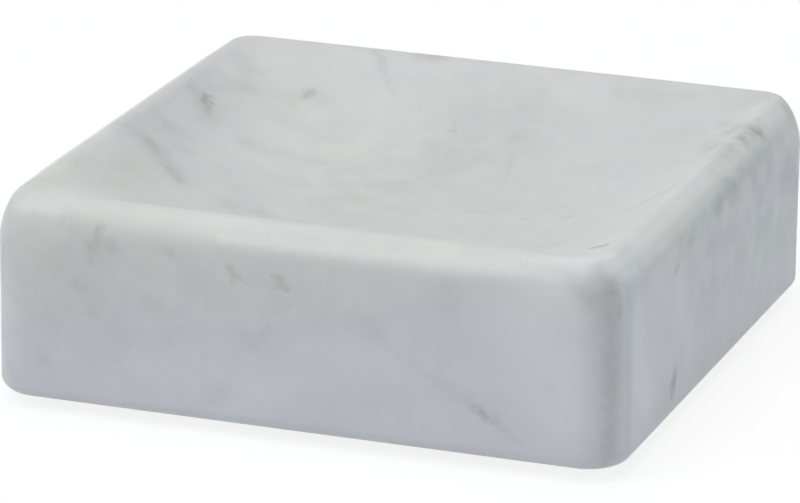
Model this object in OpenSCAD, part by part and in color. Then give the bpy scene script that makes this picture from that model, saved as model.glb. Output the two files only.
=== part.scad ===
// Square soap dish: one block of stone with a bowl-shaped hollow, standing on four non-slip pads.
// Front is -Y, right is +X and up is +Z. The origin lies on the resting surface, under the centre.
// All lengths are in millimetres and all angles in degrees.

/* [Stone block] */
// Width of the block, left to right
block_w = 115; // [90:1:160]
// Depth of the block, front to back
block_d = 115; // [90:1:160]
// Height of the block, from its underside to the top of its rim
block_h = 36.5; // [32:0.5:50]
// Radius of the four upright corners, seen from above
corner_r = 8; // [7:0.5:15]
// Radius of the small rounding along the bottom edge
foot_r = 2.5; // [0.5:0.1:4]

/* [Rim] */
// Round-over of the outer top edge, measured in from the side
rim_in = 4.2; // [3:0.1:6]
// Round-over of the outer top edge, measured down from the top, along the sides
rim_down = 5.5; // [4:0.5:12]
// The same at the four upright corners, where the edge is ground back further
corner_down = 8.5; // [6:0.5:16]
// Length of side over which the round-over deepens towards a corner
corner_fade = 14; // [8:1:24]
// Radius of the rim's inner lip
lip_r = 3; // [1:0.1:4]

/* [Hollow] */
// Depth of the hollow at its middle, below the top of the rim
hollow_depth = 16; // [12:0.5:24]
// Steepness of the hollow's wall just inside the lip, at the middle of each side
wall_angle = 38; // [32:1:55]

/* [Pads] */
// Diameter of each non-slip pad
pad_d = 12; // [8:0.5:18]
// Thickness of each pad
pad_h = 1.8; // [1:0.1:4]
// Radius of the rounding along each pad's lower edge
pad_edge_r = 0.6; // [0.2:0.1:0.9]
// Distance from the sides of the block to the middle of each pad
pad_inset = 16; // [13:0.5:26]
// Thickness of the adhesive disc between a pad and the stone
adhesive_h = 0.2; // [0.1:0.05:0.5]
// How far the adhesive disc stays back from the pad's edge
adhesive_margin = 0.4; // [0.2:0.1:1]

/* [Hidden] */

// Levels: the block stands on the pads and their adhesive
base_z = pad_h + adhesive_h;
top_z = base_z + block_h;

// Half sizes of the block, and of the rim's highest line
half_w = block_w / 2;
half_d = block_d / 2;
crest_w = half_w - rim_in;
crest_d = half_d - rim_in;
crest_r = corner_r - rim_in;

// Points of one outline: steps along half a side, and steps round one corner
side_steps = 10;
corner_steps = 6;
quarter_steps = 2 * side_steps + corner_steps;

// Rings up the section: round the bottom edge, round the top edge, over the lip, down the bowl
foot_steps = 5;
rim_steps = 11;
lip_steps = 4;
bowl_steps = 20;

// The lip turns from level to the wall's steepness
lip_in = lip_r * sin(wall_angle);
lip_drop = lip_r * (1 - cos(wall_angle));

// Below the lip the bowl falls by this much
bowl_drop = hollow_depth - lip_drop;

// One point in a quarter of a rounded rectangle with half sides a, b and corner radius r
function outline_point(a, b, r, i) =
    i < side_steps ? [a, (b - r) * i / side_steps] :
    i > side_steps + corner_steps ? [(a - r) * (quarter_steps - i) / side_steps, b] :
    let (turn = 90 * (i - side_steps) / corner_steps)
    [a - r + r * cos(turn), b - r + r * sin(turn)];

// A point turned by whole quarter turns about the centre
function quarter_turn(p, quarter) =
    quarter == 0 ? p :
    quarter_turn([-p[1], p[0]], quarter - 1);

// The points of a closed rounded rectangle about the centre
function outline(a, b, r) = [
    for (quarter = [0:3], i = [0:quarter_steps - 1])
        let (swap = quarter % 2 == 1)
        let (first = swap ? b : a, second = swap ? a : b)
        quarter_turn(outline_point(first, second, r, i), quarter)
];

// An outline of the block's outside at height z, set in from its sides
function outer_ring(inset, z) = [
    for (p = outline(half_w - inset, half_d - inset, corner_r - inset)) [p[0], p[1], z]
];

// How near a point of the outline is to an upright corner: none along the sides, then rising
// smoothly over the last stretch of the side to one where the corner's arc begins
function corner_share(p) =
    let (along_w = (abs(p[0]) - half_w + corner_r) / corner_fade + 1)
    let (along_d = (abs(p[1]) - half_d + corner_r) / corner_fade + 1)
    let (near = max(min(along_w, along_d, 1), 0))
    pow(near, 2) * (3 - 2 * near);

// An outline on the round-over of the top edge, turned from upright at 0 to level at 90 degrees
function rim_ring(turn) =
    let (inset = rim_in * (1 - cos(turn)))
    [
        for (p = outline(half_w - inset, half_d - inset, corner_r - inset))
            let (down = rim_down + (corner_down - rim_down) * corner_share(p))
            [p[0], p[1], top_z - down * (1 - sin(turn))]
    ];

// Share of the hollow's depth that one axis allows, at a distance from the middle along it: none
// at the rim's highest line, then a circular arc over the lip, then a power curve that leaves
// at the wall's steepness and is level at the middle
function axis_share(distance, crest) =
    let (inwards = max(crest - abs(distance), 0))
    let (reach = crest - lip_in)
    let (power = tan(wall_angle) * reach / bowl_drop)
    let (left_share = min(abs(distance) / reach, 1))
    let (arc_drop = lip_r - sqrt(pow(lip_r, 2) - pow(min(inwards, lip_in), 2)))
    let (wall_drop = lip_drop + bowl_drop * (1 - pow(left_share, power)))
    (inwards < lip_in ? arc_drop : wall_drop) / hollow_depth;

// An outline inside the hollow, a distance in from the rim's highest line. Both axes' shares are
// multiplied, so the walls are steepest at the middle of each side and fade out at the corners.
function hollow_ring(inwards) =
    let (size_share = 1 - inwards / min(crest_w, crest_d))
    [
        for (p = outline(crest_w * size_share, crest_d * size_share, crest_r * size_share))
            let (depth = hollow_depth * axis_share(p[0], crest_w) * axis_share(p[1], crest_d))
            [p[0], p[1], top_z - depth]
    ];

// Rings from the underside, up the outside, over the rim and down towards the bowl's middle
dish_rings = [
    for (i = [0:foot_steps])
        let (turn = 90 * i / foot_steps)
        outer_ring(foot_r * (1 - sin(turn)), base_z + foot_r * (1 - cos(turn))),
    for (i = [0:rim_steps]) rim_ring(90 * i / rim_steps),
    for (i = [1:lip_steps]) hollow_ring(lip_r * sin(wall_angle * i / lip_steps)),
    for (i = [1:bowl_steps - 1])
        hollow_ring(lip_in + (min(crest_w, crest_d) - lip_in) * i / bowl_steps)
];

// A closed skin over a stack of equal outlines: a fan from a first point to the first outline,
// a band of triangles from each outline to the next, and a fan from the last one to a last point
module skin(first_point, rings, last_point) {
    count = len(rings[0]);
    last = len(rings) - 1;
    points = [for (ring = rings) each ring, first_point, last_point];
    first_tip = len(points) - 2;
    last_tip = len(points) - 1;
    first_fan = [for (i = [0:count - 1]) [first_tip, i, (i + 1) % count]];
    bands = [
        for (k = [0:last - 1], i = [0:count - 1])
            let (next = (i + 1) % count)
            let (low = k * count, high = low + count)
            each [
                [low + i, high + i, high + next],
                [low + i, high + next, low + next]
            ]
    ];
    last_fan = [
        for (i = [0:count - 1])
            [last * count + i, last_tip, last * count + (i + 1) % count]
    ];
    polyhedron(points, concat(first_fan, bands, last_fan), convexity = 4);
}

// The stone block with its rounded rim and bowl, from the middle of its underside
// to the middle of its hollow
module stone_dish() {
    color("#e9eae8")
        skin([0, 0, base_z], dish_rings, [0, 0, top_z - hollow_depth]);
}

// Places a piece under one corner of the block: side is -1 for left or 1 for right,
// and face is -1 for front or 1 for rear
module under_corner(side, face, z) {
    translate([side * (half_w - pad_inset), face * (half_d - pad_inset), z])
        children();
}

// A round pad with a flat sole and a rounded lower edge
module pad() {
    pad_r = pad_d / 2;
    edge_steps = 6;
    edge = [
        for (i = [0:edge_steps])
            let (turn = 90 * i / edge_steps)
            [pad_r - pad_edge_r * (1 - sin(turn)), pad_edge_r * (1 - cos(turn))]
    ];
    color("#dfe2e3")
        rotate_extrude($fn = 48)
            polygon(concat([[0, 0]], edge, [[pad_r, pad_h], [0, pad_h]]));
}

// A thin disc of adhesive that holds one pad to the underside
module adhesive() {
    color("#c9ccd0")
        cylinder(h = adhesive_h, r = pad_d / 2 - adhesive_margin, $fn = 48);
}

module pad_front_left() under_corner(-1, -1, 0) pad();
module pad_front_right() under_corner(1, -1, 0) pad();
module pad_rear_left() under_corner(-1, 1, 0) pad();
module pad_rear_right() under_corner(1, 1, 0) pad();

module adhesive_front_left() under_corner(-1, -1, pad_h) adhesive();
module adhesive_front_right() under_corner(1, -1, pad_h) adhesive();
module adhesive_rear_left() under_corner(-1, 1, pad_h) adhesive();
module adhesive_rear_right() under_corner(1, 1, pad_h) adhesive();

stone_dish();
pad_front_left();
pad_front_right();
pad_rear_left();
pad_rear_right();
adhesive_front_left();
adhesive_front_right();
adhesive_rear_left();
adhesive_rear_right();
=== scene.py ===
import math

import bpy
import numpy as np
from mathutils import Matrix, Vector


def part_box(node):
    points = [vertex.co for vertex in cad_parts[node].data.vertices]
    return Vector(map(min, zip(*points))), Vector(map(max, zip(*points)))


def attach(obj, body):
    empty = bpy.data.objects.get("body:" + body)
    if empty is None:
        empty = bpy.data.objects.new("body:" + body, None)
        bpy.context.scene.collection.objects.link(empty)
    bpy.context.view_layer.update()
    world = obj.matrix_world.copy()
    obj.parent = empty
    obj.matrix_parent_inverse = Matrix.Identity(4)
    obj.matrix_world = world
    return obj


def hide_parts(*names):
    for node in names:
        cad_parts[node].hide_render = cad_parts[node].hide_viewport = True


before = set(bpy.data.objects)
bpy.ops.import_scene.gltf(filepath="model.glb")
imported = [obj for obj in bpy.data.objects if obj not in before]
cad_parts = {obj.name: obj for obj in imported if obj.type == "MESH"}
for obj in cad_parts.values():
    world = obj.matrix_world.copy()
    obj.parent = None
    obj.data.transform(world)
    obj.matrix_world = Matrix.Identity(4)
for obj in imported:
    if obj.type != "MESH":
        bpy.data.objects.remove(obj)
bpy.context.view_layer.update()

# Stone block: the dish is one square piece of white marble. Its top edge is ground to a soft
# round-over, deeper at the four corners, and its top is hollowed into a smooth bowl and honed.
block_low, block_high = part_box("stone_dish")
half_side = (block_high.x - block_low.x) / 2
block_base = block_low.z
block_top = block_high.z

corner_radius = 0.008
foot_radius = 0.0025
rim_in = 0.0042
rim_down = 0.0055
corner_down = 0.0085
corner_fade = 0.014
rim_power = 1.6
lip_radius = 0.003
hollow_depth = 0.016
wall_angle = math.radians(38)
crest_half = half_side - rim_in
crest_radius = corner_radius - rim_in
lip_in = lip_radius * math.sin(wall_angle)
lip_drop = lip_radius * (1 - math.cos(wall_angle))


def outline(half, radius, along):
    """A closed square outline about the origin with rounded corners. along runs once round it, from
    0 to 4 with a whole number for each quarter: first up half a side, then round the corner by
    its angle, then along half of the next side."""
    corner_share = 1 / 3
    side_share = (1 - corner_share) / 2
    quarter = np.floor(along)
    s = along - quarter
    turn = np.clip((s - side_share) / corner_share, 0, 1) * np.pi / 2
    up = np.clip(s / side_share, 0, 1)
    back = np.clip((1 - s) / side_share, 0, 1)
    x = (half - radius) * back + radius * np.cos(turn)
    y = (half - radius) * up + radius * np.sin(turn)
    c, n = np.cos(quarter * np.pi / 2), np.sin(quarter * np.pi / 2)
    return x * c - y * n, x * n + y * c


def axis_share(distance):
    """Share of the hollow's depth that one axis allows at a distance from the middle: none at the
    rim's highest line, then a circular arc over the lip, then a power curve that leaves at the
    wall's angle and is level at the middle."""
    inwards = np.clip(crest_half - np.abs(distance), 0, None)
    reach, drop = crest_half - lip_in, hollow_depth - lip_drop
    power = math.tan(wall_angle) * reach / drop
    arc = lip_radius - np.sqrt(lip_radius ** 2 - np.minimum(inwards, lip_in) ** 2)
    wall = lip_drop + drop * (1 - np.minimum(np.abs(distance) / reach, 1) ** power)
    return np.where(inwards < lip_in, arc, wall) / hollow_depth


def round_over(x, y):
    """How far down the round-over of the top edge reaches at a point of the outline: rim_down along
    the sides, easing over corner_fade to corner_down where an upright corner begins."""
    near = (np.minimum(np.abs(x), np.abs(y)) - half_side + corner_radius) / corner_fade + 1
    near = np.clip(near, 0, 1)
    return rim_down + (corner_down - rim_down) * near ** 2 * (3 - 2 * near)


def block_surface(foot_steps, side_steps, rim_steps, lip_steps, bowl_steps, around):
    """The block's skin as a grid of points, one row an outline: round the foot on a quarter circle,
    up the side, over the rim on a quarter ellipse that is a little flattened in its middle, and
    down the bowl, whose depth is the product of both axes' shares."""
    foot = np.linspace(0, np.pi / 2, foot_steps + 1)
    side = np.linspace(0, 1, side_steps + 1)[1:-1]
    rim = np.linspace(0, np.pi / 2, rim_steps + 1)
    rim_level, rim_upright = np.cos(rim) ** (2 / rim_power), np.sin(rim) ** (2 / rim_power)
    inset = np.concatenate([foot_radius * (1 - np.sin(foot)), 0 * side, rim_in * (1 - rim_level)])
    inwards = np.concatenate([np.linspace(0, lip_in, lip_steps + 1)[1:],
                              np.linspace(lip_in, crest_half, bowl_steps + 1)[1:-1]])
    left = 1 - inwards / crest_half
    half = np.concatenate([half_side - inset, crest_half * left])
    radius = np.concatenate([corner_radius - inset, crest_radius * left])
    along = np.arange(0, 4, 4 / around)
    x, y = outline(half[:, None], radius[:, None], along[None, :])
    foot_z = block_base + foot_radius * (1 - np.cos(foot[:, None])) + 0 * x[:len(foot)]
    rim_down_here = round_over(x, y)[len(foot) + len(side):len(inset)]
    rim_z = block_top - rim_down_here * (1 - rim_upright[:, None])
    side_z = foot_z[-1] + (rim_z[0] - foot_z[-1]) * side[:, None]
    bowl_z = block_top - hollow_depth * (axis_share(x) * axis_share(y))[len(inset):]
    return x, y, np.concatenate([foot_z, side_z, rim_z, bowl_z])


def skin_mesh(name, x, y, z, first_point, last_point):
    """A closed mesh over a stack of closed outlines, given as grids with one row an outline:
    a fan from a first point to the first row, quads from row to row, and a fan to a last point."""
    rows, count = x.shape
    points = np.concatenate([np.stack([x, y, z], -1).reshape(-1, 3), [first_point, last_point]])
    row, col = np.meshgrid(np.arange(rows - 1) * count, np.arange(count), indexing="ij")
    nxt = (col + 1) % count
    quads = np.stack([row + col, row + nxt, row + count + nxt, row + count + col], -1)
    ring = np.arange(count)
    ring_next = (ring + 1) % count
    tip = rows * count
    first_fan = np.stack([ring_next, ring, np.full(count, tip)], -1)
    last_row = (rows - 1) * count
    last_fan = np.stack([last_row + ring, last_row + ring_next, np.full(count, tip + 1)], -1)
    mesh = bpy.data.meshes.new(name)
    faces = quads.reshape(-1, 4).tolist() + first_fan.tolist() + last_fan.tolist()
    mesh.from_pydata(points.tolist(), [], faces)
    mesh.polygons.foreach_set("use_smooth", np.ones(len(mesh.polygons), bool))
    mesh.update()
    mesh.validate()
    return mesh


x, y, z = block_surface(foot_steps=8, side_steps=12, rim_steps=24, lip_steps=8, bowl_steps=80,
                        around=288)
hollow_floor = block_top - hollow_depth
stone_mesh = skin_mesh("stone_block", x, y, z, (0, 0, block_base), (0, 0, hollow_floor))
stone = bpy.data.objects.new("stone_block", stone_mesh)
bpy.context.scene.collection.objects.link(stone)
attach(stone, "root")
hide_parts("stone_dish")


# Marble: the stone's look is worked out in millimetres from its own place in the block, so that a
# vein that leaves one face goes on round the next. Clouds, smoke, patches and grain come from noise,
# and the marks that this block shows, and the painted highlights and shades along its rims and down
# its front right corner, are each a short stroke with soft sides.
def add_node(tree, kind, inputs=(), **settings):
    """Adds a node, makes its own settings, and fills its sockets with values or with outputs of
    other nodes."""
    node = tree.nodes.new(kind)
    for name, value in settings.items():
        setattr(node, name, value)
    for socket, value in dict(inputs).items():
        if isinstance(value, bpy.types.NodeSocket):
            tree.links.new(value, node.inputs[socket])
        else:
            node.inputs[socket].default_value = value
    return node


def calc(tree, operation, *values):
    """One step of arithmetic on numbers, values or outputs of other nodes."""
    return add_node(tree, "ShaderNodeMath", enumerate(values), operation=operation).outputs[0]


def vector(tree, operation, *values):
    """One step of arithmetic on vectors. Gives the number where the operation makes one."""
    node = add_node(tree, "ShaderNodeVectorMath", enumerate(values), operation=operation)
    return node.outputs[1 if operation in ("DOT_PRODUCT", "LENGTH") else 0]


def place_in_mm(tree):
    """The place of a point in the object, in millimetres."""
    place = add_node(tree, "ShaderNodeTexCoord").outputs["Object"]
    return add_node(tree, "ShaderNodeVectorMath", {0: place, "Scale": 1000.0},
                    operation="SCALE").outputs[0]


def noise(tree, place, scale, detail=2.0, roughness=0.5):
    """Soft noise about 0.5, with a wave of 1 / scale millimetres."""
    node = add_node(tree, "ShaderNodeTexNoise", {"Vector": place, "Scale": scale, "Detail": detail,
                    "Roughness": roughness})
    return node.outputs["Fac"]


def drift(tree, place, scale, detail, roughness=0.5):
    """A soft random shift to any side, with a wave of 1 / scale millimetres."""
    node = add_node(tree, "ShaderNodeTexNoise", {"Vector": place, "Scale": scale, "Detail": detail,
                    "Roughness": roughness})
    return vector(tree, "SUBTRACT", node.outputs["Color"], (0.5, 0.5, 0.5))


def between(tree, value, low, high, smooth=True):
    """0 at low, 1 at high, and held beyond them."""
    node = add_node(tree, "ShaderNodeMapRange", {"Value": value, "From Min": low, "From Max": high,
                    "To Min": 0.0, "To Max": 1.0},
                    interpolation_type="SMOOTHSTEP" if smooth else "LINEAR", clamp=True)
    return node.outputs["Result"]


def blend(tree, share, first, second, kind="MIX"):
    """Colour that goes from the first to the second with a share."""
    node = add_node(tree, "ShaderNodeMix", data_type="RGBA", blend_type=kind, clamp_factor=True)
    for socket, value in ((0, share), (6, first), (7, second)):
        if isinstance(value, bpy.types.NodeSocket):
            tree.links.new(value, node.inputs[socket])
        else:
            node.inputs[socket].default_value = value
    return node.outputs[2]


# One mark: a stroke from a start to an end whose half width runs from one value to another. It is
# strongest along its middle and fades out sideways like smoke. The stone has so many strokes that its
# material is near the most that a renderer takes in one: with a node more in each, it turns black.
mark_tree = bpy.data.node_groups.new("mark", "ShaderNodeTree")
for socket in ("Place", "Start", "End"):
    mark_tree.interface.new_socket(name=socket, in_out="INPUT", socket_type="NodeSocketVector")
for socket in ("Start Width", "End Width", "Strength"):
    mark_tree.interface.new_socket(name=socket, in_out="INPUT", socket_type="NodeSocketFloat")
mark_tree.interface.new_socket(name="Share", in_out="OUTPUT", socket_type="NodeSocketFloat")
given = add_node(mark_tree, "NodeGroupInput").outputs
stroke = vector(mark_tree, "SUBTRACT", given["End"], given["Start"])
reach = vector(mark_tree, "SUBTRACT", given["Place"], given["Start"])
way = calc(mark_tree, "DIVIDE", vector(mark_tree, "DOT_PRODUCT", reach, stroke),
           vector(mark_tree, "DOT_PRODUCT", stroke, stroke))
way = calc(mark_tree, "MINIMUM", calc(mark_tree, "MAXIMUM", way, 0.0), 1.0)
nearest = add_node(mark_tree, "ShaderNodeVectorMath", {0: stroke, "Scale": way},
                   operation="SCALE").outputs[0]
distance = vector(mark_tree, "LENGTH", vector(mark_tree, "SUBTRACT", reach, nearest))
widening = calc(mark_tree, "SUBTRACT", given["End Width"], given["Start Width"])
width = calc(mark_tree, "MULTIPLY_ADD", way, widening, given["Start Width"])
fade_out = 2.2
bell = between(mark_tree, calc(mark_tree, "DIVIDE", distance, width), fade_out, 0.0)
share = calc(mark_tree, "MULTIPLY", calc(mark_tree, "MULTIPLY", bell, bell), given["Strength"])
add_node(mark_tree, "NodeGroupOutput", {"Share": share})


def marks(tree, place, strokes):
    """The strongest of a list of strokes at each place. A stroke is its start and end in
    millimetres, its half width at both, and its strength."""
    strongest = None
    for start, end, start_width, end_width, strength in strokes:
        node = add_node(tree, "ShaderNodeGroup", node_tree=mark_tree)
        tree.links.new(place, node.inputs["Place"])
        for socket, value in (("Start", start), ("End", end), ("Start Width", start_width),
                              ("End Width", end_width), ("Strength", strength)):
            node.inputs[socket].default_value = value
        share = node.outputs["Share"]
        strongest = share if strongest is None else calc(tree, "MAXIMUM", strongest, share)
    return strongest


marble = bpy.data.materials.new("honed_marble")
marble.use_nodes = True
tree = marble.node_tree
shader = tree.nodes["Principled BSDF"]
place = place_in_mm(tree)

# Everything drifts a little off its straight way: broadly for clouds, finely for the marks. The
# amounts are in millimetres, the same along each axis.
cloud_amount, frayed_amount, softened_amount = (16.0,) * 3, (2.8,) * 3, (1.5,) * 3
broad = drift(tree, place, scale=0.035, detail=3.0)
drifted = vector(tree, "MULTIPLY_ADD", broad, cloud_amount, place)
fine = drift(tree, place, scale=0.45, detail=4.0, roughness=0.6)
frayed = vector(tree, "MULTIPLY_ADD", fine, frayed_amount, place)
softened = vector(tree, "MULTIPLY_ADD", fine, softened_amount, place)

# Clouds and smoke: broad soft patches, and slanting drifts that are longer than they are wide
clouds = noise(tree, drifted, scale=0.03, detail=4.0)
clouds = between(tree, clouds, low=0.38, high=0.62)
slant = add_node(tree, "ShaderNodeMapping", {"Vector": drifted, "Rotation": (0.35, 0.5, 0.6),
                 "Scale": (0.025, 0.085, 0.06)}, vector_type="POINT").outputs[0]
smoke = noise(tree, slant, scale=1.0, detail=3.0, roughness=0.55)
smoke = between(tree, smoke, low=0.48, high=0.66)
patches = noise(tree, frayed, scale=0.16, detail=3.0, roughness=0.6)
patches = between(tree, patches, low=0.35, high=0.65)
grain = noise(tree, place, scale=1.1, detail=3.0, roughness=0.65)
grain = between(tree, grain, low=0.3, high=0.7)

# Flecks: small clear crystals, few and far between
flecks = between(tree, noise(tree, place, scale=0.75), low=0.68, high=0.78)

# The dark marks of this block and a line of painted shade, left to right and top to bottom, from its
# hollow to its sides
dark_strokes = [
    # spot with a tail high on the hollow's left wall, and its faint wing
    ((-47.9, 21.2, 35.5), (-47.1, 19.6, 35.0), 1.6, 1.6, 0.41),
    ((-46.9, 19.4, 34.8), (-45.4, 16.2, 33.8), 1.3, 1.2, 0.28),
    ((-50.4, 20.6, 37.0), (-48.2, 21.0, 35.7), 1.3, 1.5, 0.13),
    ((-48.2, 21.0, 35.6), (-45.2, 15.5, 33.6), 2.6, 2.6, 0.15),
    # small three-cornered spot
    ((-34.7, 37.4, 32.4), (-34.1, 39.4, 32.9), 0.7, 1.3, 0.25),
    # broad streak down the left wall
    ((-51.6, -9.0, 38.0), (-48.2, -7.4, 35.4), 2.4, 2.2, 0.07),
    ((-48.2, -7.4, 35.4), (-45.6, -8.6, 33.9), 1.8, 1.9, 0.13),
    ((-45.6, -8.6, 33.9), (-41.2, -11.4, 31.3), 2.4, 2.2, 0.08),
    ((-41.2, -11.4, 31.3), (-38.9, -13.6, 30.2), 1.8, 1.2, 0.15),
    # vein and smudge over the rear rim
    ((-25.9, 52.2, 38.3), (-23.0, 48.5, 36.0), 1.1, 1.0, 0.15),
    ((-23.0, 48.5, 36.0), (-19.0, 43.3, 32.7), 0.8, 0.5, 0.08),
    ((-17.1, 52.2, 38.3), (-13.4, 52.6, 38.4), 1.4, 1.6, 0.17),
    # spots and dashes on the hollow's floor
    ((-5.2, 37.2, 29.1), (-5.5, 39.6, 30.2), 0.9, 0.5, 0.15),
    ((5.9, 37.2, 29.0), (7.8, 34.0, 27.8), 2.2, 1.6, 0.07),
    ((7.8, 34.0, 27.8), (9.6, 24.6, 24.9), 1.2, 0.5, 0.09),
    ((6.8, 10.9, 22.8), (9.6, 11.0, 23.0), 0.8, 0.7, 0.07),
    ((18.7, 7.7, 23.7), (19.2, 7.6, 23.7), 0.8, 0.7, 0.10),
    ((27.0, 6.2, 25.4), (28.4, 6.4, 25.8), 0.8, 0.7, 0.15),
    ((47.2, -44.8, 37.3), (48.2, -44.2, 37.4), 0.7, 0.9, 0.13),
    ((48.5, -43.9, 37.5), (49.2, -43.4, 37.6), 1.2, 1.1, 0.66),
    ((49.3, -43.3, 37.6), (50.6, -41.1, 37.8), 0.9, 0.7, 0.13),
    # patch over the right rim, and the spots below it
    ((54.2, 30.2, 38.3), (55.0, 31.6, 38.2), 1.5, 1.4, 0.31),
    ((51.0, 32.0, 38.0), (53.6, 31.2, 38.3), 1.4, 1.5, 0.17),
    ((57.3, 7.2, 34.8), (57.3, 8.6, 34.6), 1.3, 1.1, 0.14),
    ((57.4, 4.0, 34.6), (57.4, -4.0, 34.0), 2.0, 1.6, 0.08),
    ((57.5, -26.6, 29.6), (57.5, -25.4, 29.2), 1.2, 1.1, 0.17),
    # dark streak low on the right side
    ((57.5, -25.6, 9.9), (57.5, -26.2, 8.6), 1.2, 1.5, 0.54),
    ((57.5, -26.2, 8.6), (57.5, -27.4, 6.8), 1.1, 0.8, 0.28),
    # hooked mark at the upper left of the front, and faint spots below it
    ((-35.8, -57.0, 35.2), (-36.6, -57.5, 33.6), 1.0, 1.2, 0.16),
    ((-36.6, -57.5, 33.4), (-37.9, -57.5, 29.2), 1.3, 1.5, 0.11),
    ((-34.6, -57.5, 32.0), (-33.0, -57.5, 31.4), 1.3, 1.1, 0.10),
    ((-23.3, -57.5, 31.8), (-22.9, -57.5, 31.5), 0.7, 0.6, 0.10),
    ((-40.3, -57.5, 24.2), (-39.8, -57.5, 23.9), 1.4, 1.3, 0.10),
    ((-37.9, -57.5, 19.8), (-37.3, -57.5, 19.0), 1.4, 1.2, 0.07),
    ((-45.9, -57.5, 17.0), (-45.0, -57.5, 16.0), 2.6, 2.4, 0.06),
    ((-47.3, -57.5, 10.4), (-46.4, -57.5, 9.4), 1.6, 1.4, 0.08),
    ((-26.8, -57.5, 22.2), (-25.8, -57.5, 21.4), 2.0, 1.8, 0.05),
    ((-15.2, -57.5, 7.0), (-14.0, -57.5, 8.8), 1.8, 1.5, 0.08),
    # two slanting marks below the front rim, and a faint pair lower down
    ((-12.4, -57.5, 30.4), (-11.2, -57.5, 29.0), 0.9, 1.1, 0.22),
    ((-11.2, -57.5, 29.0), (-9.4, -57.5, 28.2), 0.6, 0.4, 0.14),
    ((-4.5, -57.5, 30.0), (-3.0, -57.5, 29.0), 0.5, 0.9, 0.17),
    ((-3.0, -57.5, 29.0), (-1.9, -57.5, 28.1), 1.1, 0.7, 0.20),
    ((-8.2, -57.5, 17.4), (-5.3, -57.5, 20.2), 1.4, 1.3, 0.08),
    # vein that falls to the right along the front, dark at one place only
    ((15.9, -57.5, 20.2), (25.3, -57.5, 15.0), 0.9, 1.5, 0.06),
    ((25.3, -57.5, 15.0), (30.8, -57.5, 12.4), 1.6, 1.5, 0.09),
    ((31.8, -57.5, 11.4), (34.0, -57.5, 9.8), 0.9, 1.1, 0.30),
    ((34.0, -57.5, 9.8), (37.4, -57.5, 8.0), 1.3, 0.8, 0.16),
    ((37.4, -57.5, 8.0), (40.5, -57.5, 6.0), 1.2, 0.7, 0.07),
    ((27.0, -57.5, 32.0), (27.6, -57.5, 28.0), 1.8, 1.6, 0.07),
    ((44.6, -57.5, 16.6), (45.2, -57.5, 16.2), 1.5, 1.3, 0.06),
    # spots near the top of the front right corner, and a line down it, partly stone, partly painted
    # shade
    ((54.2, -54.8, 35.0), (54.8, -54.9, 33.2), 1.5, 2.0, 0.15),
    ((55.8, -54.4, 31.0), (56.0, -54.2, 29.4), 1.2, 1.1, 0.14),
    ((54.5, -55.0, 34.0), (55.1, -55.1, 4.0), 1.9, 1.4, 0.13),
    # veins over the left and rear sides
    ((-57.5, 34.0, 33.0), (-57.5, 12.0, 22.0), 0.8, 1.4, 0.14),
    ((-57.5, 12.0, 22.0), (-57.5, -6.0, 9.0), 1.4, 0.7, 0.22),
    ((-57.5, -30.0, 28.0), (-57.5, -32.5, 25.5), 1.2, 0.8, 0.30),
    ((-28.0, 57.5, 30.0), (-12.0, 57.5, 14.0), 0.8, 1.5, 0.16),
    ((22.0, 57.5, 31.0), (24.5, 57.5, 28.5), 1.3, 0.9, 0.30),
    ((30.0, 57.5, 20.0), (46.0, 57.5, 11.0), 1.2, 0.8, 0.14),
]
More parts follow.
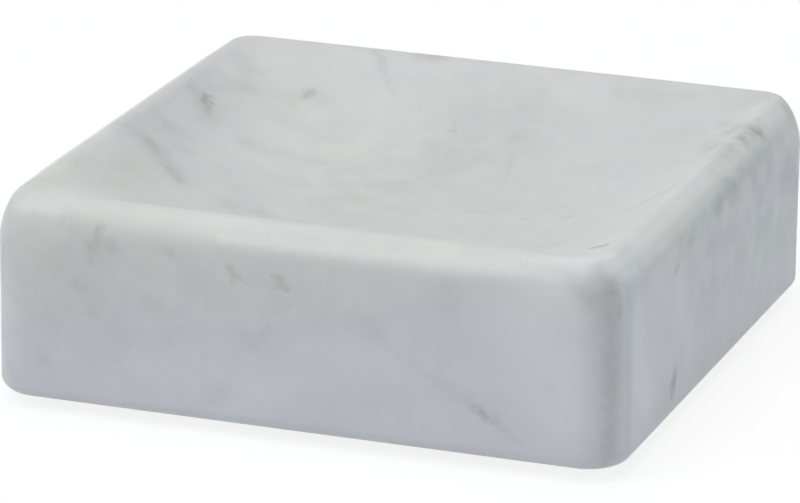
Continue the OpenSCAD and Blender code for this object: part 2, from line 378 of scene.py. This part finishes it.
# Smoky patches with no edge of their own, and painted shade along the foot of the right rim's
# round-over
grey_stone_and_shade_strokes = [
    ((-50.0, -2.0, 37.0), (-47.0, 28.0, 35.5), 5.0, 8.0, 0.15),
    ((-48.1, 3.0, 35.4), (-44.0, 0.0, 32.8), 3.5, 3.0, 0.24),
    ((-47.8, 25.5, 35.7), (-44.2, 33.0, 34.6), 2.8, 3.5, 0.29),
    ((-50.0, 42.5, 37.7), (-45.5, 38.0, 36.0), 2.8, 3.0, 0.18),
    ((-38.0, 14.5, 29.8), (-31.0, 18.4, 27.4), 2.0, 2.4, 0.14),
    ((-31.0, 18.4, 27.4), (-24.0, 19.8, 25.7), 2.4, 2.0, 0.20),
    ((-36.0, 0.0, 28.4), (-30.0, -5.0, 26.4), 3.5, 3.0, 0.14),
    ((-29.5, -12.5, 26.5), (-24.9, -9.6, 25.0), 3.0, 3.0, 0.25),
    ((-14.0, 11.0, 23.3), (-8.5, 17.5, 23.6), 3.5, 3.5, 0.18),
    ((-3.0, 24.0, 24.5), (2.0, 25.5, 24.9), 3.5, 3.0, 0.14),
    ((-44.0, -57.5, 26.0), (-34.0, -57.5, 18.0), 10.0, 9.0, 0.14),
    ((-22.0, -57.5, 27.5), (2.0, -57.5, 26.0), 6.0, 5.0, 0.14),
    ((-26.0, -57.5, 20.0), (-8.0, -57.5, 19.0), 6.0, 6.0, 0.16),
    ((11.0, -57.5, 23.8), (14.5, -57.5, 22.6), 2.6, 2.2, 0.18),
    ((-16.0, 12.0, 23.5), (4.0, 40.0, 30.0), 15.0, 14.0, 0.19),
    ((53.5, 4.0, 38.4), (54.5, 34.0, 38.4), 2.6, 3.2, 0.26),
    ((47.0, 37.5, 36.2), (50.0, 33.0, 37.4), 2.4, 2.6, 0.26),
    ((50.0, 33.0, 37.4), (54.0, 24.0, 38.4), 2.9, 3.1, 0.64),
    ((53.8, 27.0, 38.4), (55.8, 31.0, 37.8), 2.4, 2.4, 0.60),
    ((46.0, 28.2, 34.8), (52.6, 18.2, 38.4), 2.7, 2.9, 0.43),
    ((-56.4, -55.6, 31.0), (-56.4, -55.6, 12.0), 2.0, 2.0, 0.30),
    ((-43.0, -18.0, 33.5), (-46.0, -34.0, 35.5), 6.0, 6.0, 0.10),
    # painted shade along the right side at the foot of the rim's round-over
    ((57.3, -24.0, 32.4), (57.4, 12.0, 33.0), 2.6, 2.9, 0.44),
    ((57.4, 12.0, 32.4), (57.5, 26.0, 31.0), 3.6, 3.8, 0.42),
    # smoky patches
    ((57.5, 26.0, 30.0), (57.5, 50.0, 26.0), 7.0, 8.0, 0.42),
    ((57.5, -6.0, 24.0), (57.5, 46.0, 24.0), 12.0, 14.0, 0.24),
    ((-47.0, -57.1, 35.2), (-37.0, -57.1, 35.4), 1.2, 1.3, 0.28),
    ((-35.0, -57.5, 29.0), (-28.0, -57.5, 28.0), 3.5, 3.5, 0.13),
    ((-54.0, -57.2, 30.0), (-48.0, -57.5, 10.0), 4.0, 5.0, 0.12),
    ((49.4, -56.9, 34.2), (52.0, -56.6, 33.0), 2.2, 2.2, 0.26),
    ((-32.0, 30.0, 29.0), (-24.0, 30.0, 28.0), 6.0, 6.0, 0.12),
    ((-40.0, 32.0, 32.3), (-33.0, 38.0, 32.6), 4.5, 4.5, 0.16),
    ((-41.0, -57.4, 34.0), (-38.0, -57.5, 32.0), 1.8, 1.8, 0.30),
    ((-55.6, -56.4, 8.0), (-52.0, -57.3, 4.0), 2.5, 2.5, 0.24),
    ((-46.0, -8.0, 34.2), (-40.0, -12.0, 30.8), 3.6, 3.0, 0.30),
    ((24.0, 49.6, 36.8), (42.0, 50.7, 37.9), 3.0, 3.0, 0.12),
    ((-57.5, 22.0, 28.0), (-57.5, -10.0, 16.0), 7.0, 6.0, 0.30),
    ((-20.0, 57.5, 22.0), (30.0, 57.5, 24.0), 7.0, 8.0, 0.30),
]
# Clearer stone between them, and painted highlight along the round-overs of the front and right rims
# and beside the front right corner, where the lamps leave them too dark
pale_stone_and_highlight_strokes = [
    ((-38.0, 9.7, 29.6), (-23.8, 12.0, 24.8), 2.0, 3.0, 0.20),
    ((-6.0, -57.5, 9.0), (16.0, -57.5, 18.0), 5.0, 6.0, 0.25),
    ((41.0, -57.5, 28.0), (48.0, -57.5, 14.0), 9.0, 9.0, 0.50),
    # painted light beside the front right corner, along the front rim and round the right rim
    ((57.5, -50.0, 26.0), (57.5, -44.0, 12.0), 6.0, 7.0, 0.55),
    ((-14.0, -57.0, 35.4), (46.0, -56.7, 36.1), 1.1, 2.0, 0.60),
    ((40.0, -55.2, 37.8), (50.5, -54.6, 37.6), 1.4, 1.8, 0.42),
    ((49.0, -53.5, 38.2), (53.6, -50.0, 38.2), 1.8, 2.0, 0.60),
    ((54.4, -52.8, 37.2), (55.6, -49.0, 37.3), 1.9, 1.9, 1.0),
    ((55.8, -52.0, 35.9), (56.8, -46.0, 35.4), 1.7, 1.8, 0.90),
    ((56.7, -43.0, 35.8), (56.9, 4.0, 35.8), 1.6, 1.3, 0.80),
    ((55.6, -49.0, 37.4), (55.6, 46.0, 37.4), 1.9, 1.9, 1.0),
    ((56.5, -53.0, 34.0), (56.7, -52.6, 6.0), 1.4, 1.4, 0.55),
    # clearer stone
    ((57.5, -24.0, 22.0), (57.5, -18.0, 14.0), 5.0, 5.0, 0.30),
    # painted highlight at the left end of the front rim's round-over
    ((-53.5, -55.2, 36.3), (-45.0, -56.1, 36.5), 1.4, 1.3, 0.50),
    # clearer stone on the left rim
    ((-53.2, -44.0, 38.4), (-51.8, -37.0, 38.3), 1.8, 1.8, 0.30),
    ((-51.5, -16.0, 37.6), (-50.5, -24.0, 37.2), 3.0, 3.0, 0.35),
]
# Faintly green stone
green_strokes = [
    ((-54.5, -24.0, 38.2), (-50.0, -50.0, 38.2), 7.0, 8.0, 0.9),
    ((-43.0, -18.0, 33.0), (-47.0, -32.0, 36.0), 9.0, 9.0, 0.9),
    ((-46.0, -54.0, 38.0), (-26.0, -54.0, 38.0), 4.0, 3.0, 0.6),
    ((8.0, 47.0, 35.0), (14.0, 47.6, 35.2), 3.0, 3.0, 1.0),
    ((32.0, 49.5, 37.2), (40.0, 49.0, 37.0), 3.0, 3.0, 1.0),
    ((57.5, 24.0, 18.0), (57.5, 50.0, 16.0), 9.0, 9.0, 1.0),
    ((57.3, -28.0, 32.5), (57.4, 14.0, 33.2), 3.5, 3.5, 1.0),
]

# Dark marks are mottled to between 0.5 and 1.1 of their strength, and smoky patches to between 0.6
# and 1.4 of theirs
mottle = noise(tree, place, scale=0.7, detail=4.0, roughness=0.65)
mottle = between(tree, mottle, low=0.3, high=0.62)
mottle = calc(tree, "MULTIPLY_ADD", mottle, 0.6, 0.5)
dark_share = calc(tree, "MULTIPLY", marks(tree, frayed, dark_strokes), mottle)
grey_and_shade_share = marks(tree, softened, grey_stone_and_shade_strokes)
grey_and_shade_share = calc(tree, "MULTIPLY", grey_and_shade_share, calc(tree, "MULTIPLY_ADD", patches, 0.8, 0.6))
pale_and_highlight_share = marks(tree, softened, pale_stone_and_highlight_strokes)
green_share = marks(tree, softened, green_strokes)

# Colour: clear white stone, smoked with grey. The sides are painted with the colour of the light,
# lavender lower down for the cool side light and cream near the rim for the warm light from above,
# with a little lavender at random all over, and the edge of the rim is painted brighter as a painted
# highlight.
clear_white = (0.76, 0.748, 0.752, 1)
cloud_grey = (0.63, 0.625, 0.635, 1)
smoke_and_shade_grey = (0.48, 0.477, 0.466, 1)
mark_and_shade_grey = (0.12, 0.12, 0.07, 1)
pale_white = (0.86, 0.85, 0.85, 1)
# Painted colours of the light: lavender for the cool side light, cream for the warm light from above
cool_light_tint = (0.973, 0.977, 1.006, 1)
warm_light_tint = (1.012, 1.004, 0.95, 1)
green_tint = (0.993, 1.008, 0.975, 1)
# painted highlight tint for the rim's edge
rim_highlight_tint = (1.032, 1.03, 1.025, 1)
cloud_strength = 0.22
smoke_strength = 0.22
patch_strength = 0.12
fleck_strength = 0.3
grain_strength = 0.05


def tinted(tree, share, colour, tint):
    """A colour times a tint, with a share."""
    return blend(tree, share, colour, blend(tree, 1.0, colour, tint, "MULTIPLY"))


tint = between(tree, noise(tree, place, scale=0.11), low=0.4, high=0.6)
colour = blend(tree, calc(tree, "MULTIPLY", clouds, cloud_strength), clear_white, cloud_grey)
colour = blend(tree, calc(tree, "MULTIPLY", smoke, smoke_strength), colour, cloud_grey)
colour = blend(tree, calc(tree, "MULTIPLY", patches, patch_strength), colour, cloud_grey)
colour = blend(tree, calc(tree, "MULTIPLY", flecks, fleck_strength), colour, pale_white)
# Clearer stone, and painted highlight along the rims and beside the front right corner
colour = blend(tree, pale_and_highlight_share, colour, pale_white)
# Smoky patches, and painted shade under the right rim
colour = blend(tree, grey_and_shade_share, colour, smoke_and_shade_grey)
colour = blend(tree, calc(tree, "MULTIPLY", grain, grain_strength), colour, cloud_grey)

# How far out a point lies, in millimetres, and how low, where the line falls a little to the left
across = add_node(tree, "ShaderNodeSeparateXYZ", {0: vector(tree, "ABSOLUTE", frayed)}).outputs
farthest = calc(tree, "MAXIMUM", across["X"], across["Y"])
outwards = between(tree, farthest, low=53.0, high=57.0)
wander = add_node(tree, "ShaderNodeSeparateXYZ", {0: drifted}).outputs
height = calc(tree, "MULTIPLY_ADD", wander["X"], -0.15, wander["Z"])
low_down = between(tree, height, low=34.0, high=18.0)
# Painted colour of the light on the sides: cool lavender lower down, warm cream near the rim
cool_light_and_tone = calc(tree, "MULTIPLY", outwards, low_down)
painted_warm_light = calc(tree, "SUBTRACT", outwards, cool_light_and_tone)
cool_light_and_tone = calc(tree, "MULTIPLY_ADD", cool_light_and_tone, 0.75, calc(tree, "MULTIPLY", tint, 0.25))
colour = tinted(tree, cool_light_and_tone, colour, cool_light_tint)
colour = tinted(tree, painted_warm_light, colour, warm_light_tint)
colour = tinted(tree, green_share, colour, green_tint)
# Painted highlight: the round-over at the rim's edge is painted a little brighter
painted_rim_highlight = calc(tree, "MULTIPLY", between(tree, farthest, low=52.6, high=54.4),
                between(tree, across["Z"], low=34.0, high=37.0))
colour = tinted(tree, painted_rim_highlight, colour, rim_highlight_tint)
# Dark marks, and painted shade down the front right corner
colour = blend(tree, dark_share, colour, mark_and_shade_grey)
tree.links.new(colour, shader.inputs["Base Color"])

# Finish: honed, so a little uneven in its shine, and rougher in the dark marks
roughness = calc(tree, "MULTIPLY_ADD", patches, 0.06, 0.33)
roughness = calc(tree, "MULTIPLY_ADD", grain, 0.05, roughness)
roughness = calc(tree, "MULTIPLY_ADD", dark_share, 0.15, roughness)
tree.links.new(roughness, shader.inputs["Roughness"])
bump = add_node(tree, "ShaderNodeBump", {"Strength": 0.5, "Distance": 0.000012, "Height": grain})
tree.links.new(bump.outputs[0], shader.inputs["Normal"])
shader.inputs["Specular IOR Level"].default_value = 0.35
shader.inputs["Subsurface Weight"].default_value = 0.3
shader.inputs["Subsurface Radius"].default_value = (1.0, 0.85, 0.7)
shader.inputs["Subsurface Scale"].default_value = 0.002
stone_mesh.materials.append(marble)

# Adhesive discs: each pad is held to the underside by a thin disc of clear adhesive film, die cut a
# little smaller than the pad and pressed flat, so that its edge bulges very slightly.
corners = ("front_left", "front_right", "rear_left", "rear_right")


def turned_mesh(name, centre, radii, heights, around):
    """A closed turned body: circles of the given radii at the given heights about a centre, from
    its underside to its top."""
    turn = np.arange(around) * 2 * np.pi / around
    x = centre.x + np.outer(radii, np.cos(turn))
    y = centre.y + np.outer(radii, np.sin(turn))
    z = np.outer(heights, np.ones(around))
    lowest, highest = (centre.x, centre.y, heights[0]), (centre.x, centre.y, heights[-1])
    return skin_mesh(name, x, y, z, lowest, highest)


film = bpy.data.materials.new("adhesive_film")
film.use_nodes = True
tree = film.node_tree
shader = tree.nodes["Principled BSDF"]
place = place_in_mm(tree)
smear = noise(tree, place, scale=0.6, detail=3.0, roughness=0.6)
smear = between(tree, smear, low=0.35, high=0.65)
specks = between(tree, noise(tree, place, scale=4.0), low=0.55, high=0.7)
clear_film, smeared_film = (0.52, 0.55, 0.60, 1), (0.62, 0.64, 0.67, 1)
tree.links.new(blend(tree, smear, clear_film, smeared_film), shader.inputs["Base Color"])
tree.links.new(calc(tree, "MULTIPLY_ADD", smear, 0.12, 0.18), shader.inputs["Roughness"])
bump = add_node(tree, "ShaderNodeBump", {"Strength": 0.4, "Distance": 0.00002, "Height": specks})
tree.links.new(bump.outputs[0], shader.inputs["Normal"])
shader.inputs["Transmission Weight"].default_value = 0.35

film_edge_steps = 8
for corner in corners:
    low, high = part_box("adhesive_" + corner)
    centre = (low + high) / 2
    film_radius = (high.x - low.x) / 2
    film_half = (high.z - low.z) / 2
    turn = np.linspace(-np.pi / 2, np.pi / 2, film_edge_steps + 1)
    bulge = film_radius - film_half * (1 - np.cos(turn))
    radii = np.concatenate([[film_radius / 2], bulge, [film_radius / 2]])
    heights = np.concatenate([[low.z], centre.z + film_half * np.sin(turn), [high.z]])
    mesh = turned_mesh("film_" + corner, centre, radii, heights, around=64)
    piece = bpy.data.objects.new("film_" + corner, mesh)
    bpy.context.scene.collection.objects.link(piece)
    mesh.materials.append(film)
    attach(piece, "root")
    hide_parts("adhesive_" + corner)

# Non-slip pads: four round pads of milky translucent rubber, moulded with a rounded lower edge and a
# lightly dished sole with a grip ring, so that they cling to a wet wash-stand. They go on last.
rubber = bpy.data.materials.new("milky_rubber")
rubber.use_nodes = True
tree = rubber.node_tree
shader = tree.nodes["Principled BSDF"]
place = place_in_mm(tree)
cloudy = between(tree, noise(tree, place, scale=0.35, detail=3.0), low=0.35, high=0.65)
dust = noise(tree, place, scale=2.2, detail=4.0, roughness=0.65)
dust = between(tree, dust, low=0.5, high=0.72)
milky, milky_white = (0.66, 0.69, 0.71, 1), (0.72, 0.74, 0.75, 1)
dust_grey = (0.50, 0.50, 0.48, 1)
tone = blend(tree, cloudy, milky, milky_white)
tone = blend(tree, calc(tree, "MULTIPLY", dust, 0.35), tone, dust_grey)
tree.links.new(tone, shader.inputs["Base Color"])
roughness = calc(tree, "MULTIPLY_ADD", cloudy, 0.08, 0.38)
roughness = calc(tree, "MULTIPLY_ADD", dust, 0.2, roughness)
tree.links.new(roughness, shader.inputs["Roughness"])
bump = add_node(tree, "ShaderNodeBump", {"Strength": 0.5, "Distance": 0.00002, "Height": dust})
tree.links.new(bump.outputs[0], shader.inputs["Normal"])
shader.inputs["Subsurface Weight"].default_value = 0.5
shader.inputs["Subsurface Radius"].default_value = (1.0, 1.0, 1.0)
shader.inputs["Subsurface Scale"].default_value = 0.0015

pad_edge_radius = 0.0006
pad_top_radius = 0.00015
dish_depth = 0.00012
grip_in, grip_out = 0.0043, 0.0052
sole_steps, edge_steps, shoulder_steps = 10, 10, 4
for corner in corners:
    low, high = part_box("pad_" + corner)
    centre = (low + high) / 2
    pad_radius = (high.x - low.x) / 2
    sole = np.linspace(1 / sole_steps, 1, sole_steps)
    edge = np.linspace(0, np.pi / 2, edge_steps + 1)
    shoulder = np.linspace(0, np.pi / 2, shoulder_steps + 1)
    edge_r = pad_radius - pad_edge_radius * (1 - np.sin(edge))
    edge_z = low.z + pad_edge_radius * (1 - np.cos(edge))
    shoulder_r = pad_radius - pad_top_radius * (1 - np.cos(shoulder))
    shoulder_z = high.z - pad_top_radius * (1 - np.sin(shoulder))
    sole_z = low.z + dish_depth * (1 - sole ** 2) ** 2
    radii = np.concatenate([grip_in * sole, [grip_out], edge_r, shoulder_r, [pad_radius / 2]])
    heights = np.concatenate([sole_z, [low.z], edge_z, shoulder_z, [high.z]])
    mesh = turned_mesh("pad_" + corner, centre, radii, heights, around=96)
    piece = bpy.data.objects.new("rubber_" + corner, mesh)
    bpy.context.scene.collection.objects.link(piece)
    mesh.materials.append(rubber)
    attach(piece, "root")
    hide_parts("pad_" + corner)

# Floor: a plain white sheet that the dish stands on. Seen by the camera it is white with the dish's
# soft shadow, and to the light it is plain pale paint.
floor_half = 3.0
floor_mesh = bpy.data.meshes.new("floor")
floor_corners = [(-floor_half, -floor_half, 0), (floor_half, -floor_half, 0),
                 (floor_half, floor_half, 0), (-floor_half, floor_half, 0)]
floor_mesh.from_pydata(floor_corners, [], [(0, 1, 2, 3)])
floor = bpy.data.objects.new("floor", floor_mesh)
bpy.context.scene.collection.objects.link(floor)
floor_paint = bpy.data.materials.new("floor_paint")
floor_paint.use_nodes = True
floor_paint.cycles.emission_sampling = "NONE"
tree = floor_paint.node_tree
tree.nodes.clear()
pale_paint, shadow_paint, sheet_white = (0.8, 0.8, 0.8, 1), (0.18, 0.18, 0.18, 1), (1, 1, 1, 1)
sheet_glow = 0.85
plain = add_node(tree, "ShaderNodeBsdfDiffuse", {"Color": pale_paint}).outputs[0]
dim = add_node(tree, "ShaderNodeBsdfDiffuse", {"Color": shadow_paint}).outputs[0]
glow = add_node(tree, "ShaderNodeEmission", {"Color": sheet_white, "Strength": sheet_glow}).outputs[0]
pale = add_node(tree, "ShaderNodeAddShader", {0: dim, 1: glow}).outputs[0]
path = add_node(tree, "ShaderNodeLightPath").outputs
seen = calc(tree, "MAXIMUM", path["Is Glossy Ray"], path["Is Transmission Ray"])
seen = calc(tree, "MAXIMUM", path["Is Camera Ray"], seen)
paint = add_node(tree, "ShaderNodeMixShader", {0: seen, 1: plain, 2: pale}).outputs[0]
add_node(tree, "ShaderNodeOutputMaterial", {"Surface": paint})
floor_mesh.materials.append(floor_paint)

# Sky: a plain pale room, brightest at the horizon. It darkens overhead, where the soft boxes take
# over, and its darkening is a power of the height above the horizon.
world = bpy.data.worlds.new("studio")
bpy.context.scene.world = world
world.use_nodes = True
tree = world.node_tree
direction = add_node(tree, "ShaderNodeTexCoord").outputs["Generated"]
height = add_node(tree, "ShaderNodeSeparateXYZ", {0: direction}).outputs["Z"]
above = calc(tree, "MAXIMUM", height, 0.0)
horizon_sky, overhead_sky = (0.235, 0.278, 0.33, 1), (0.02, 0.02, 0.03, 1)
darkening = 2.5
sky = blend(tree, calc(tree, "POWER", above, darkening), horizon_sky, overhead_sky)
tree.links.new(sky, tree.nodes["Background"].inputs["Color"])

# Soft boxes: for each its azimuth from the front towards the right and its elevation in degrees, its
# distance, width and height in metres, its power in watts and its colour
soft_boxes = {
    "key": (-35, 50, 1.3, 1.1, 0.9, 7.3, (0.87, 0.92, 1.0)),
    "top": (0, 88, 1.3, 1.0, 1.0, 7.4, (0.99, 0.975, 0.808)),
    "rear_right": (128, 14, 1.2, 0.7, 0.5, 1.7, (0.60, 0.78, 1.0)),
    "rear_left": (-140, 8, 1.2, 1.2, 0.3, 1.0, (0.96, 1.0, 0.83)),
    "rear": (170, 50, 1.3, 1.0, 0.6, 1.7, (1.0, 0.95, 0.80)),
}
aim = Vector((0, 0, 0.03))
for name, (azimuth, elevation, away, wide, high, power, tone) in soft_boxes.items():
    lamp_data = bpy.data.lights.new(name, "AREA")
    lamp_data.shape = "RECTANGLE"
    lamp_data.size, lamp_data.size_y = wide, high
    lamp_data.energy = power
    lamp_data.color = tone
    lamp = bpy.data.objects.new(name, lamp_data)
    bpy.context.scene.collection.objects.link(lamp)
    a, e = math.radians(azimuth), math.radians(elevation)
    way_out = Vector((math.sin(a) * math.cos(e), -math.cos(a) * math.cos(e), math.sin(e)))
    lamp.location = way_out * away
    lamp.rotation_euler = (aim - lamp.location).to_track_quat("-Z", "Y").to_euler()

# Camera: fitted to the dish's outline in the photograph, in whose frame of 800 pixels its focal length
# and shift are given
photo_width = 800
focal_pixels = 5583.935
shift_pixels = (-10.924, -13.807)
camera_azimuth = math.radians(19.458)
camera_elevation = math.radians(17.839)
camera_roll = math.radians(0.710)
camera_distance = 0.99888
camera_data = bpy.data.cameras.new("camera")
camera = bpy.data.objects.new("camera", camera_data)
bpy.context.scene.collection.objects.link(camera)
bpy.context.scene.camera = camera
camera_data.sensor_fit = "HORIZONTAL"
camera_data.sensor_width = 36
camera_data.lens = focal_pixels / photo_width * camera_data.sensor_width
camera_data.shift_x = shift_pixels[0] / photo_width
camera_data.shift_y = shift_pixels[1] / photo_width
level = math.cos(camera_elevation)
forward = np.array([-math.sin(camera_azimuth) * level, math.cos(camera_azimuth) * level,
                    -math.sin(camera_elevation)])
target = Vector((0, 0, (block_base + block_top) / 2))
right = np.cross(forward, (0, 0, 1.0))
right /= np.linalg.norm(right)
up = np.cross(right, forward)
roll_cos, roll_sin = math.cos(camera_roll), math.sin(camera_roll)
right, up = roll_cos * right + roll_sin * up, -roll_sin * right + roll_cos * up
pose = Matrix.Identity(4)
for i in range(3):
    pose[i][0], pose[i][1], pose[i][2] = right[i], up[i], -forward[i]
    pose[i][3] = target[i] - forward[i] * camera_distance
camera.matrix_world = pose

bpy.context.scene.view_settings.view_transform = "Standard"
